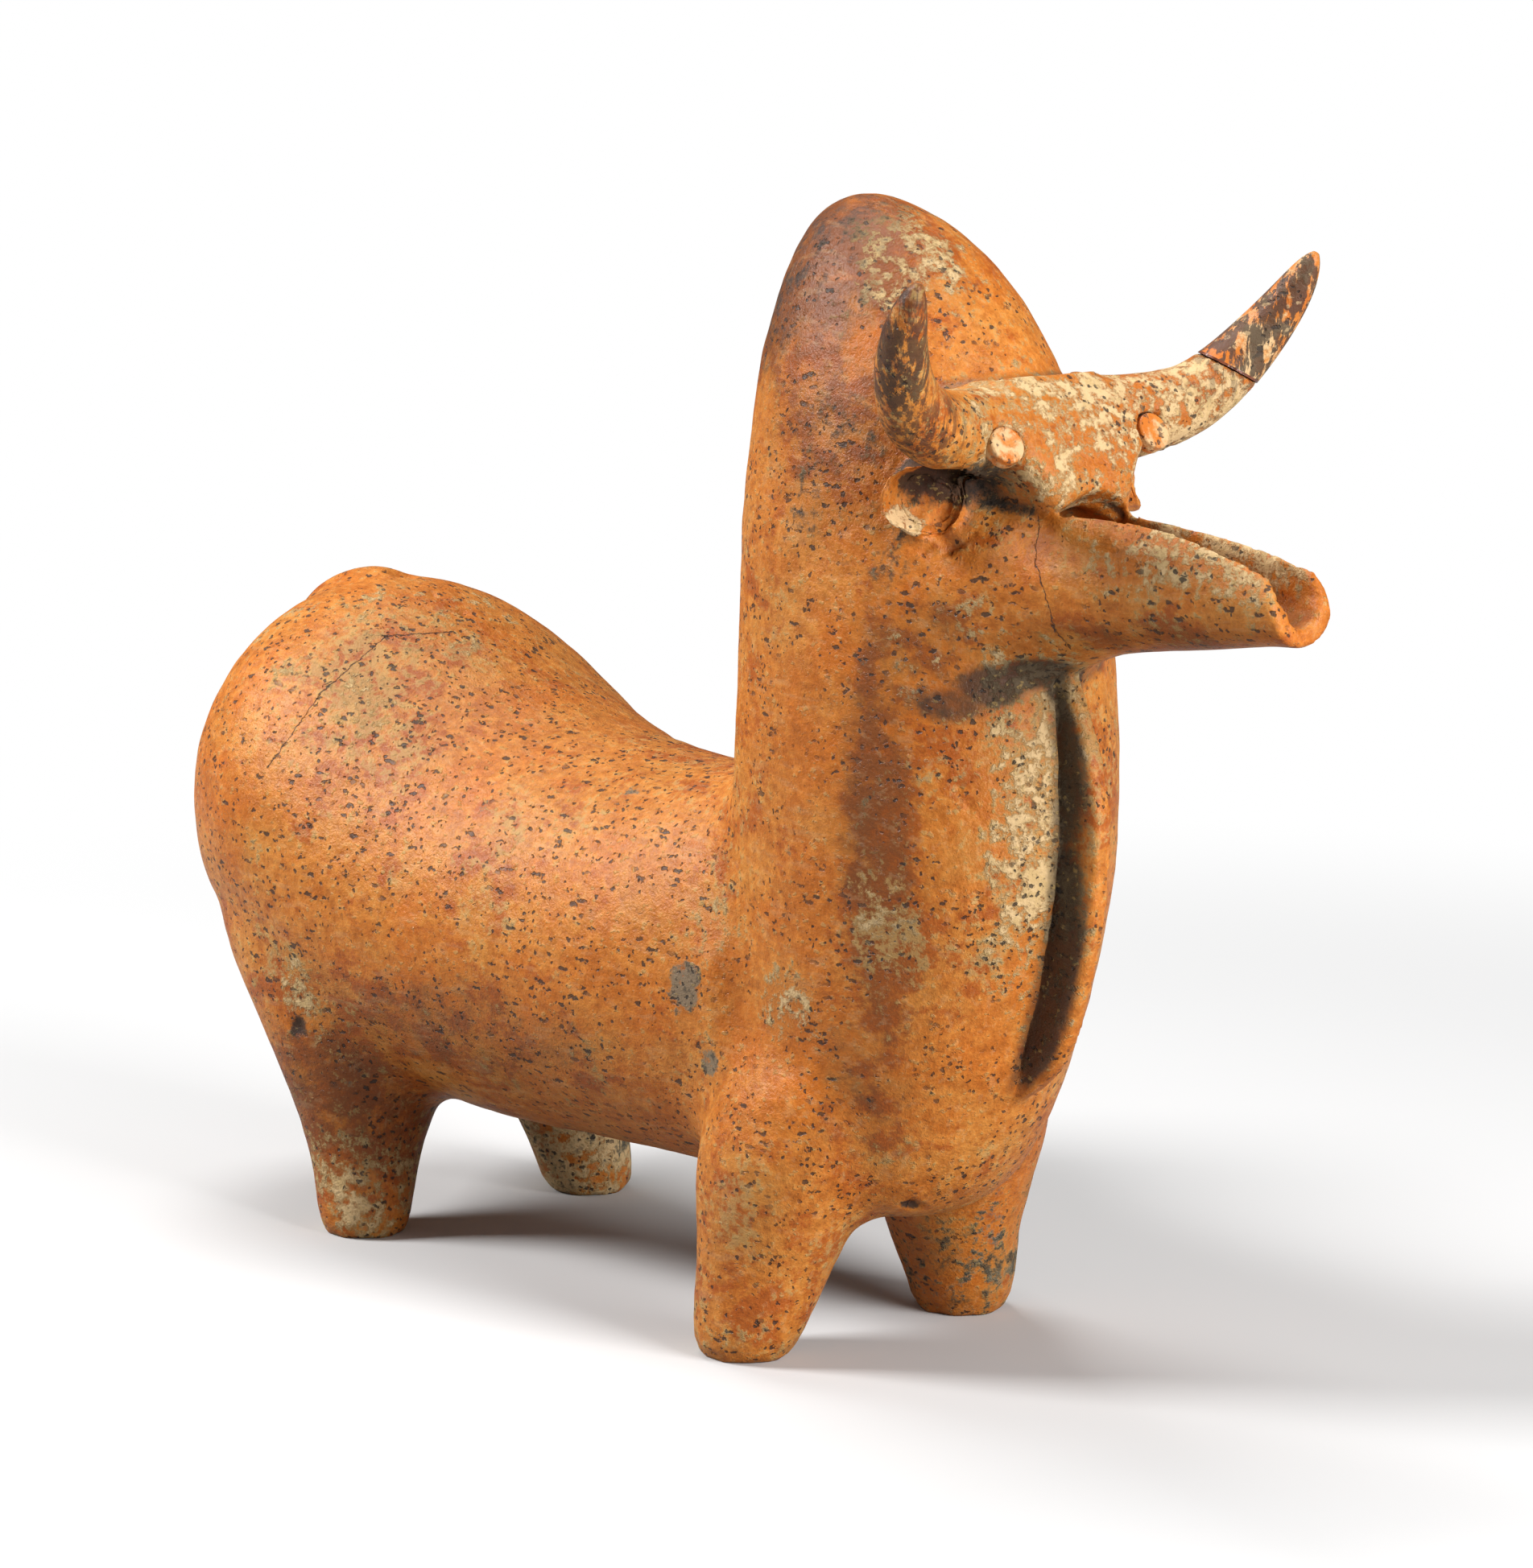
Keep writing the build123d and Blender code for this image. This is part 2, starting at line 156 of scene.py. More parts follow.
# Where the slip fired deeper red-brown.
RED_PLACES = (
    ((84.0, -31.0, 120.0), (10.0, 13.0, 56.0), 1.0),
    ((92.0, -26.0, 158.0), (12.0, 14.0, 18.0), 0.8),
    ((78.0, -33.0, 60.0), (14.0, 16.0, 26.0), 0.7),
    ((-40.0, 0.0, 34.0), (80.0, 44.0, 14.0), 0.5),
    ((-50.0, -40.0, 60.0), (54.0, 16.0, 16.0), 0.75),
    ((-104.0, -34.0, 34.0), (24.0, 26.0, 30.0), 1.05),
    ((40.0, -18.0, 236.0), (40.0, 26.0, 26.0), 1.25),
    ((66.0, -26.0, 212.0), (26.0, 16.0, 26.0), 0.8),
    ((122.0, -56.0, 242.0), (7.0, 7.0, 7.0), 1.6),
    ((150.0, -10.0, 166.0), (34.0, 10.0, 7.0), 0.7),
)
# Streaky horns.
STREAKED_PLACES = (
    ((114.0, -54.0, 226.0), (12.0, 14.0, 26.0), 1.0),
    ((108.0, -42.0, 208.0), (12.0, 12.0, 12.0), 0.8),
    ((113.0, 44.0, 222.0), (12.0, 14.0, 14.0), 0.7),
)
# Grey-green bloom on the flank.
BLOOM_PLACES = (
    ((25.6, -36.7, 79.9), (5.0, 7.0, 6.5), 0.62),
    ((32.1, -34.1, 63.8), (3.2, 5.0, 3.2), 0.62),
    ((-13.2, -19.6, 115.9), (3.5, 2.5, 2.0), 0.5),
    ((-102.0, 33.0, 26.0), (20.0, 22.0, 34.0), 0.30),
    ((44.0, 28.0, 18.0), (20.0, 20.0, 24.0), 0.30),
)
# Small losses of clay: middle and radius, depth.
CHIPS = (
    ((-132.3, 2.5, 149.6), 4.2, 1.3),
    ((-116.8, 0.6, 145.8), 1.8, 0.7),
    ((-107.8, 2.3, 142.4), 1.6, 0.7),
    ((-103.6, -49.2, 50.7), 2.6, 0.9),
    ((99.1, -22.5, 131.8), 1.8, 0.6),
    ((100.6, -21.0, 128.0), 1.4, 0.5),
    ((101.1, -18.5, 107.9), 1.6, 0.5),
    ((33.0, -24.5, 3.0), 2.6, 0.9),
    ((43.0, -36.5, 4.0), 2.2, 0.8),
    ((72.8, -12.4, 36.5), 2.6, 2.6),
)


class VesselSkin(PropertyGroup):
    """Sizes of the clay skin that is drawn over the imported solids."""

    soft_cell: FloatProperty(
        name="Soft cell", description="Cell of the first, softly joined skin", default=1.8 * MM, unit="LENGTH"
    )
    fine_cell: FloatProperty(
        name="Fine cell", description="Cell of the finished skin", default=0.9 * MM, unit="LENGTH"
    )
    soft_rounds: IntProperty(
        name="Soft rounds", description="How often the wet joins are filled and smoothed", default=240
    )
    fine_rounds: IntProperty(
        name="Fine rounds", description="How often the pressed joins are filled and smoothed", default=14
    )
    wobble: FloatProperty(
        name="Hand wobble", description="How far the hand-built wall strays", default=0.5 * MM, unit="LENGTH"
    )
    tear: FloatProperty(
        name="Torn clay", description="Depth of the torn patch under the right horn", default=1.3 * MM, unit="LENGTH"
    )


class VesselClay(PropertyGroup):
    """Colours of the fired clay, its slip and what lies on it."""

    slip: FloatVectorProperty(
        name="Slip", description="Orange slip as fired", subtype="COLOR", size=3, default=(0.62, 0.168, 0.018)
    )
    rust: FloatVectorProperty(
        name="Rust", description="Slip where it fired redder", subtype="COLOR", size=3, default=(0.42, 0.088, 0.011)
    )
    olive: FloatVectorProperty(
        name="Olive dust", description="Thin yellowish earth", subtype="COLOR", size=3, default=(0.52, 0.34, 0.12)
    )
    deep_slip: FloatVectorProperty(
        name="Deep slip", description="Slip where it fired red-brown", subtype="COLOR", size=3,
        default=(0.19, 0.062, 0.018)
    )
    bright_slip: FloatVectorProperty(
        name="Bright slip", description="Thin, worn slip", subtype="COLOR", size=3, default=(0.72, 0.275, 0.050)
    )
    lime: FloatVectorProperty(
        name="Lime", description="Pale crust from the ground", subtype="COLOR", size=3, default=(0.74, 0.52, 0.27)
    )
    # This colour also lays the painted shade in creases, folds and hollows and under the head.
    soot_and_shade: FloatVectorProperty(
        name="Soot", description="Smoked and stained clay", subtype="COLOR", size=3, default=(0.035, 0.028, 0.024)
    )
    bloom: FloatVectorProperty(
        name="Bloom", description="Grey-green stain on the flank", subtype="COLOR", size=3,
        default=(0.20, 0.18, 0.125)
    )
    glue: FloatVectorProperty(
        name="Old glue", description="Aged glue in the mended horn", subtype="COLOR", size=3,
        default=(0.10, 0.028, 0.012)
    )


class VesselStudio(PropertyGroup):
    """Floor, lamps and camera."""

    key_power: FloatProperty(
        name="Key lamp", description="Large soft lamp from the rump side", default=30.0, unit="POWER"
    )
    side_power: FloatProperty(
        name="Side lamp", description="Soft lamp above the rump", default=13.0, unit="POWER"
    )
    fill_power: FloatProperty(
        name="Chest lamp", description="Soft lamp from the chest side", default=21.5, unit="POWER"
    )
    sky: FloatProperty(name="Room light", description="Even light of the pale room", default=0.10)
    lens: FloatProperty(name="Lens", description="Focal length on a 36 mm frame", default=135.37)
    camera_place: FloatVectorProperty(name="Camera", description="Where the camera stands", size=3,
                                      default=(1.00529, -0.80853, 0.34502), subtype="TRANSLATION")
    camera_look: FloatVectorProperty(name="Look", description="Direction in which the camera looks", size=3,
                                     default=(-0.7647, 0.6203, -0.1743), subtype="DIRECTION")


def settings():
    """The three groups of settings, as the scene holds them."""
    scene = bpy.context.scene
    return scene.vessel_skin, scene.vessel_clay, scene.vessel_studio


def near(points, middle, half, soft=0.35):
    """1 inside an egg of the given half sizes, fading to 0 around its edge."""
    far = np.linalg.norm((points - np.array(middle)) / np.array(half), axis=1)
    t = np.clip((1 + soft - far) / (2 * soft), 0.0, 1.0)
    return t * t * (3 - 2 * t)


def ripple(points, length, seed):
    """Smooth noise from -1 to 1 at every point, with waves of the given length."""
    shifted = (points / length + seed).tolist()
    return np.array([noise.noise(p) for p in shifted])


def from_solids(names, extra=()):
    """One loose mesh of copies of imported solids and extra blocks, ready to be skinned."""
    bm = bmesh.new()
    for name in names:
        bm.from_mesh(nodes[name].data)
    bmesh.ops.remove_doubles(bm, verts=bm.verts, dist=0.001 * MM)
    for mesh in extra:
        bm.from_mesh(mesh)
    loose = bpy.data.meshes.new("loose_clay")
    bm.to_mesh(loose)
    bm.free()
    return loose


def throat_plug():
    """A hidden wafer that shuts the hollow off behind the throat, so that the skin stays outside."""
    bm = bmesh.new()
    ball = bmesh.ops.create_uvsphere(bm, u_segments=24, v_segments=12, radius=MM)
    bmesh.ops.scale(bm, verts=ball["verts"], vec=(4.5, 15.0, 15.0))
    bmesh.ops.translate(bm, verts=ball["verts"], vec=(0.095, 0.0, 0.178))
    plug = bpy.data.meshes.new("throat_plug")
    bm.to_mesh(plug)
    bm.free()
    return plug


def skinned(loose, cell):
    """The closed outer skin of a loose mesh, with square cells of the given size."""
    carrier = bpy.data.objects.new("carrier", loose)
    bpy.context.scene.collection.objects.link(carrier)
    skin = carrier.modifiers.new("skin", "REMESH")
    skin.mode = "VOXEL"
    skin.voxel_size = cell
    mesh = bpy.data.meshes.new_from_object(carrier.evaluated_get(bpy.context.evaluated_depsgraph_get()))
    bpy.data.objects.remove(carrier)
    return mesh


def points_of(mesh):
    """Vertex places in millimetres."""
    flat = np.empty(len(mesh.vertices) * 3)
    mesh.vertices.foreach_get("co", flat)
    return flat.reshape(-1, 3) / MM


def place_points(mesh, points):
    """Writes vertex places, given in millimetres."""
    mesh.vertices.foreach_set("co", (points * MM).ravel())
    mesh.update()


def edges_of(mesh):
    """Pairs of joined vertices."""
    flat = np.empty(len(mesh.edges) * 2, dtype=np.int32)
    mesh.edges.foreach_get("vertices", flat)
    return flat.reshape(-1, 2)


def normals_of(mesh):
    """Outward direction at every vertex."""
    flat = np.empty(len(mesh.vertices) * 3)
    mesh.vertex_normals.foreach_get("vector", flat)
    return flat.reshape(-1, 3)


def mean_of_neighbours(values, pairs, count):
    """Average over the joined vertices of each vertex, for one or more columns."""
    total = np.zeros_like(values)
    for column in range(values.shape[1]):
        total[:, column] = np.bincount(pairs[:, 0], values[pairs[:, 1], column], len(values))
        total[:, column] += np.bincount(pairs[:, 1], values[pairs[:, 0], column], len(values))
    return total / count[:, None]


def evened(points, pairs, count, share, rounds):
    """Evens the places without shrinking thin rims: each round pulls in, then pushes back a little more."""
    for _ in range(rounds):
        points = points + 0.50 * share * (mean_of_neighbours(points, pairs, count) - points)
        points = points - 0.53 * share * (mean_of_neighbours(points, pairs, count) - points)
    return points


def smooth_clay(mesh, fill_rounds, even_rounds, guard, hollow_limit):
    """Evens the whole skin a little, and fills hollow creases outwards where the guard allows it."""
    points = points_of(mesh)
    pairs = edges_of(mesh)
    count = np.bincount(pairs.ravel(), minlength=len(points)).astype(float)
    points = evened(points, pairs, count, 1.0, even_rounds)
    place_points(mesh, points)
    normals = normals_of(mesh)
    before = points.copy()
    for turn in range(fill_rounds):
        step = mean_of_neighbours(points, pairs, count) - points
        outward = (step * normals).sum(1)
        gain = np.clip((outward - hollow_limit) / hollow_limit, 0.0, 1.0) * guard
        points += 0.7 * step * gain[:, None]
        if turn % 6 == 5:
            place_points(mesh, points)
            normals = normals_of(mesh)
    filled = np.clip(np.linalg.norm(points - before, axis=1) / 0.15, 0.0, 1.0)[:, None]
    for _ in range(4):
        filled = np.maximum(filled, mean_of_neighbours(filled, pairs, count))
    for _ in range(8):
        points += 0.5 * filled * (mean_of_neighbours(points, pairs, count) - points)
    place_points(mesh, points)


def guard_for(points, places):
    """1 where creases may be filled, 0 at openings and sockets."""
    free = np.ones(len(points))
    for middle, half in places:
        free *= 1 - near(points, middle, half)
    return free


def strength_of(points, places):
    """Strongest of several places at every point."""
    strength = np.zeros(len(points))
    for middle, half, amount in places:
        strength = np.maximum(strength, amount * near(points, middle, half, 0.6))
    return strength


def torn_ear(points, side):
    """How far each point is pressed back along an ear, so that its rim is torn away forwards and upwards."""
    root = np.array((90.3, side * 22.6, 191.0))
    outward = np.array((0.5, side * 0.85, 0.1)) / np.linalg.norm((0.5, 0.85, 0.1))
    from_root = points - root
    stand = from_root @ outward
    across = from_root - stand[:, None] * outward
    reach = np.linalg.norm(across, axis=1)
    torn_way = np.array((0.83, -side * 0.49, -0.28 if side < 0 else 0.38))
    if side < 0:
        share = np.clip((across @ torn_way) / 5.5 + 0.6, 0.0, 1.0)
        kept = 11.0 - 11.5 * share + 2.0 * ripple(points, 4.5, 31.0)
        kept = np.where(reach < 6.2, np.minimum(kept, 0.8 + 3.2 * (reach / 6.2) ** 2), kept)
    else:
        share = np.clip((across @ torn_way) / 8.0 + 0.15, 0.0, 1.0)
        kept = 9.5 - 3.0 * share
    ear = (reach < 12.0) & (stand > 0.0) & (stand < 16.0)
    return (np.clip(stand - kept, 0.0, None) * ear)[:, None] * outward


def levelled_rims(points):
    """Lays both rims of the trough on one smooth line, free of the steps of the cells."""
    for side in (-1, 1):
        apart = np.abs(points - np.array((147.0, side * 10.5, 182.5)))
        rim = np.flatnonzero((apart < (26.0, 5.5, 8.0)).all(1))
        along, height = points[rim, 0], points[rim, 2]
        part = np.round((along - along.min()) / 1.2).astype(int)
        top = np.full(part.max() + 1, -1.0)
        np.maximum.at(top, part, height)
        middle = along.min() + 1.2 * np.arange(len(top))
        wanted = np.polyval(np.polyfit(middle, top, 4), middle)
        depth = np.interp(along, middle, top) - height
        points[rim, 2] += np.interp(along, middle, wanted - top) * np.clip(1 - depth / 5.0, 0.0, 1.0)
    return points


def build_stock():
    """Makes the whole clay skin once: joined, filled, worn and marked for the finish."""
    skin, _, _ = settings()
    soft = skinned(from_solids(SOFT_JOINED, [throat_plug()]), skin.soft_cell)
    smooth_clay(soft, skin.soft_rounds, 1, guard_for(points_of(soft), KEPT_CRISP), 0.02)
    stock = skinned(from_solids(CRISP_JOINED, [soft, throat_plug()]), skin.fine_cell)
    smooth_clay(stock, skin.fine_rounds, 4, guard_for(points_of(stock), KEPT_CRISP), 0.02)

    points = points_of(stock)
    pairs = edges_of(stock)
    count = np.bincount(pairs.ravel(), minlength=len(points)).astype(float)
    normals = normals_of(stock)
    step = (mean_of_neighbours(points, pairs, count) - points)
    bend = ((step * normals).sum(1))[:, None]
    for _ in range(3):
        bend = mean_of_neighbours(bend, pairs, count)
    # Hollowness of the skin, used below to paint shade into creases.
    crease = np.clip(bend[:, 0] / 0.05, -1.0, 1.0)

    reach = skin.wobble / MM
    move = reach * ripple(points, 26.0, 3.1) + 0.45 * reach * ripple(points, 9.0, 11.7)
    move += 0.16 * reach * ripple(points, 3.6, 23.0)
    torn = near(points, *TORN_PATCH, 0.3)
    tear = skin.tear / MM
    move += torn * tear * (ripple(points, 3.2, 5.0) * 0.7 + ripple(points, 1.6, 7.7) * 0.5 - 0.25)
    ears = np.maximum(near(points, *RIGHT_EAR, 0.2), near(points, *LEFT_EAR, 0.2))
    move += ears * (0.55 * ripple(points, 3.0, 41.0) + 0.25 * ripple(points, 1.5, 17.0))
    for side in (-1, 1):
        points -= torn_ear(points, side)
    points[:, 0] -= 3.0 * strength_of(points, GROOVE_PLACES)
    points[:, 2] += 2.2 * near(points, (140.0, -10.0, 186.0), (32.0, 5.0, 6.0), 0.5)
    points = levelled_rims(points)
    points = evened(points, pairs, count, near(points, *TROUGH, 0.5)[:, None], 10)
    arch = np.maximum(near(points, (116.0, 0.0, 194.0), (9.0, 14.0, 8.0), 0.4), near(points, *LEFT_EAR, 0.3))
    arch = np.maximum(arch, 0.5 * near(points, *RIGHT_EAR, 0.3))[:, None]
    for _ in range(10):
        points += 0.5 * arch * (mean_of_neighbours(points, pairs, count) - points)
    place_points(stock, points)
    normals = normals_of(stock)
    soles = np.clip((7.0 - points[:, 2]) / 5.0, 0.0, 1.0)
    move += soles * (0.4 * ripple(points, 3.0, 9.0) - 0.15)
    spout = near(points, (160.0, 0.0, 177.0), (50.0, 30.0, 26.0), 0.2)
    move = move * (1 - 0.7 * spout) + 0.35 * near(points, (178.0, 0.0, 177.0), (9.0, 12.0, 12.0), 0.5)
    for middle, radius, depth in CHIPS:
        apart = np.linalg.norm(points - np.array(middle), axis=1)
        ragged = apart + 0.35 * radius * ripple(points, 0.9 * radius, 2.0) if (apart < 2 * radius).any() else apart
        move -= depth * np.clip(1.4 * (1 - ragged / radius), 0.0, 1.0)
    standing = np.clip(points[:, 2] / 1.5, 0.0, 1.0)
    points += normals * (move * standing)[:, None]
    points[:, 2] = np.maximum(points[:, 2], 0.0)
    low, high = (np.array(side) / MM for side in cad_box)
    points = np.clip(points, low, high)
    place_points(stock, points)

    marks = {
        "pale": strength_of(points, PALE_PLACES),
        "dark": strength_of(points, DARK_PLACES),
        "red": strength_of(points, RED_PLACES),
        "bloom": strength_of(points, BLOOM_PLACES),
        "streaked": strength_of(points, STREAKED_PLACES),
        # The crease mark paints shade into hollow creases, the dewlap's groove and the fold under the spout.
        "crease": np.maximum(crease, strength_of(points, GROOVE_PLACES + SHADED_FOLD_PLACES)) * (1 - 0.8 * ears),
        "torn": torn,
    }
    for name, values in marks.items():
        stock.attributes.new(name, "FLOAT", "POINT").data.foreach_set("value", values.astype(np.float32))
    facing = stock.attributes.new("facing", "FLOAT_VECTOR", "POINT")
    facing.data.foreach_set("vector", normals_of(stock).astype(np.float32).ravel())
    stock.name = CLAY_STOCK
    return stock


def slice_off(name, stands_for, axis, place, keep_below):
    """Cuts a piece off the clay stock at a plane, closes both cut faces and puts the piece in the scene."""
    stock = bpy.data.meshes[CLAY_STOCK]
    normal = Vector((0.0, 0.0, 0.0))
    normal["XYZ".index(axis)] = 1.0
    at = normal * place * MM
    halves = []
    for above in (False, True):
        bm = bmesh.new()
        bm.from_mesh(stock)
        cut = bmesh.ops.bisect_plane(
            bm, geom=bm.verts[:] + bm.edges[:] + bm.faces[:], dist=0.01 * MM, plane_co=at, plane_no=normal,
            clear_outer=not above, clear_inner=above,
        )
        rim = [e for e in cut["geom_cut"] if isinstance(e, bmesh.types.BMEdge) and e.is_valid and e.is_boundary]
        if rim:
            bmesh.ops.holes_fill(bm, edges=rim, sides=0)
        half = bpy.data.meshes.new(name)
        bm.to_mesh(half)
        bm.free()
        halves.append(half)
    kept, rest = (halves[0], halves[1]) if keep_below else (halves[1], halves[0])
    stock.name = "used_up"
    bpy.data.meshes.remove(stock)
    rest.name = CLAY_STOCK
    return clay_piece(name, kept, stands_for)


def clay_piece(name, mesh, stands_for):
    """Puts a closed piece of the skin in the scene, keeps the skin's own shading and dresses it."""
    mesh.name = name
    mesh.polygons.foreach_set("use_smooth", np.ones(len(mesh.polygons), dtype=bool))
    facing = np.empty(len(mesh.vertices) * 3, dtype=np.float32)
    mesh.attributes["facing"].data.foreach_get("vector", facing)
    facing = facing.reshape(-1, 3)
    length = np.linalg.norm(facing, axis=1)
    facing /= np.where(length > 0, length, 1)[:, None]
    mesh.normals_split_custom_set_from_vertices(facing.tolist())
    mesh.attributes.remove(mesh.attributes["facing"])
    mesh.materials.clear()
    mesh.materials.append(clay_finish())
    piece = bpy.data.objects.new(name, mesh)
    bpy.context.scene.collection.objects.link(piece)
    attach(piece, "root")
    if stands_for:
        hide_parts(*stands_for)
    return piece


class Wire:
    """A shader socket that adds its own Math nodes when it is used in a sum."""

    def __init__(self, mix, socket):
        self.mix = mix
        self.socket = socket

    def sum(self, operation, *others):
        values = dict(enumerate(others))
        return self.mix.add("ShaderNodeMath", {"operation": operation}, values)

    def __add__(self, other):
        return self.sum("ADD", self, other)

    def __radd__(self, other):
        return self.sum("ADD", other, self)

    def __sub__(self, other):
        return self.sum("SUBTRACT", self, other)

    def __rsub__(self, other):
        return self.sum("SUBTRACT", other, self)

    def __mul__(self, other):
        return self.sum("MULTIPLY", self, other)

    def __rmul__(self, other):
        return self.sum("MULTIPLY", other, self)

    def __truediv__(self, other):
        return self.sum("DIVIDE", self, other)

    def __abs__(self):
        return self.sum("ABSOLUTE", self)

    def most(self, other):
        return self.sum("MAXIMUM", self, other)

    def least(self, other):
        return self.sum("MINIMUM", self, other)

    def rise(self, start, end):
        """0 below start and 1 above end, with a soft step between; start may lie above end."""
        return self.mix.add(
            "ShaderNodeMapRange", {"interpolation_type": "SMOOTHSTEP"},
            {"Value": self, "From Min": start, "From Max": end, "To Min": 0.0, "To Max": 1.0},
        )


class Finish:
    """One material, with one way to add a node to it."""

    def __init__(self, name):
        self.material = bpy.data.materials.new(name)
        self.material.use_nodes = True
        self.tree = self.material.node_tree
        self.tree.nodes.clear()

    def node(self, kind, choices=None, values=None):
        """Adds a node: its choices are set first, then its sockets get values or links."""
        node = self.tree.nodes.new(kind)
        for key, value in (choices or {}).items():
            if key == "stops":
                ramp = node.color_ramp
                while len(ramp.elements) < len(value):
                    ramp.elements.new(0.5)
                for element, (place, colour) in zip(ramp.elements, value):
                    element.position = place
                    element.color = (*colour, 1.0)
            else:
                setattr(node, key, value)
        for key, value in (values or {}).items():
            socket = node.inputs[key]
            if isinstance(value, Wire):
                self.tree.links.new(value.socket, socket)
            else:
                socket.default_value = value
        return node

    def add(self, kind, choices=None, values=None, output=0):
        return Wire(self, self.node(kind, choices, values).outputs[output])

    def colour(self, amount, under, over):
        """Lays one colour over another by an amount."""
        under = under if isinstance(under, Wire) else (*under, 1.0)
        over = over if isinstance(over, Wire) else (*over, 1.0)
        return self.add("ShaderNodeMix", {"data_type": "RGBA"}, {0: amount, 6: under, 7: over}, 2)

    def times(self, tint, factor):
        """Multiplies a colour by a number."""
        return self.add("ShaderNodeVectorMath", {"operation": "SCALE"}, {0: tint, "Scale": factor})

    def place(self):
        """Place on the object, in millimetres."""
        where = self.add("ShaderNodeTexCoord", None, None, "Object")
        return self.add("ShaderNodeVectorMath", {"operation": "SCALE"}, {0: where, "Scale": 1 / MM})

    def stretched(self, where, along):
        """The place, squeezed by a factor per axis."""
        return self.add("ShaderNodeVectorMath", {"operation": "MULTIPLY"}, {0: where, 1: along})

    def cloud(self, where, length, detail=3.0, rough=0.55):
        """Noise around 0.5 with waves of the given length in millimetres."""
        return self.add(
            "ShaderNodeTexNoise", {"noise_dimensions": "3D"},
            {"Vector": where, "Scale": 1 / length, "Detail": detail, "Roughness": rough},
        )

    def spots(self, where, length, jitter=1.0):
        """Distance to the nearest of scattered points, in parts of their spacing."""
        return self.add(
            "ShaderNodeTexVoronoi", {"voronoi_dimensions": "3D", "feature": "F1"},
            {"Vector": where, "Scale": 1 / length, "Randomness": jitter}, "Distance",
        )

    def mark(self, name):
        """A strength that the clay skin carries."""
        return self.add("ShaderNodeAttribute", {"attribute_type": "GEOMETRY", "attribute_name": name}, None, "Fac")

    def close(self, colour, roughness, height, depth, **uniform):
        """Ends the material in one shader with a bump of the given depth."""
        bump = self.add("ShaderNodeBump", None, {"Height": height, "Distance": depth, "Strength": 1.0})
        values = {"Base Color": colour, "Roughness": roughness, "Normal": bump}
        values.update({key.replace("_", " "): value for key, value in uniform.items()})
        shader = self.node("ShaderNodeBsdfPrincipled", None, values)
        end = self.node("ShaderNodeOutputMaterial")
        self.tree.links.new(shader.outputs[0], end.inputs["Surface"])
        return self.material


# Hairline cracks: direction and distance of a plane through the crack, middle of its stretch and its reach.
CRACKS = (
    ((0.5350, 0.6074, -0.5873), -155.91, (-109.3, -44.7, 119.7), 11.0),
    ((0.4689, 0.4660, -0.7503), -164.20, (-107.8, -29.0, 133.4), 11.6),
    ((0.1521, -0.0431, -0.9874), -152.95, (-104.8, -12.8, 139.3), 8.3),
    ((-0.6690, -0.7420, 0.0441), -57.43, (112.9, -13.4, 184.2), 6.0),
    ((-0.6086, -0.7420, -0.2812), -108.98, (117.0, -14.8, 173.4), 7.5),
    ((-0.4539, -0.6443, -0.6155), -147.74, (118.9, -11.8, 164.8), 3.4),
)


def flecked(mix, where, fine):
    """Short dark strokes, scattered specks and fine pale flecks, the same on all the clay."""
    bent = mix.add("ShaderNodeTexNoise", {"noise_dimensions": "3D"}, {"Vector": where, "Scale": 0.8}, "Color")
    bent = mix.add("ShaderNodeVectorMath", {"operation": "MULTIPLY_ADD"}, {0: bent, 1: (1.6, 1.6, 1.6), 2: where})
    gate = mix.cloud(where, 2.3, 2.0, 0.5)
    forward = mix.add("ShaderNodeSeparateXYZ", None, {0: where})
    herd = mix.cloud(where, 19.0, 3.0, 0.6) - forward.rise(20.0, 60.0) * 0.07
    strokes = mix.spots(mix.stretched(bent, (0.42, 1.0, 1.25)), 2.3).rise(0.31, 0.23) * gate.rise(0.46, 0.52)
    strokes = strokes * herd.rise(0.38, 0.52)
    specks = mix.spots(mix.stretched(bent, (0.8, 1.0, 0.9)), 1.9).rise(0.24, 0.16) * gate.rise(0.57, 0.50)
    specks = specks * herd.rise(0.34, 0.46)
    flecks = mix.spots(mix.stretched(bent, (0.6, 0.8, 1.1)), 1.6).rise(0.36, 0.24) * fine.rise(0.50, 0.56)
    return strokes, specks, flecks


def cracked(mix, where, fine):
    """Hairline cracks over the rump and round the root of the spout."""
    crack = None
    for across, offset, middle, reach in CRACKS:
        side = mix.add("ShaderNodeVectorMath", {"operation": "DOT_PRODUCT"}, {0: where, 1: across}, "Value")
        apart = mix.add("ShaderNodeVectorMath", {"operation": "DISTANCE"}, {0: where, 1: middle}, "Value")
        line = abs(side - offset + (fine - 0.5) * 2.0).rise(0.14, 0.05) * apart.rise(reach + 0.6, reach)
        crack = line if crack is None else crack.most(line)
    return crack


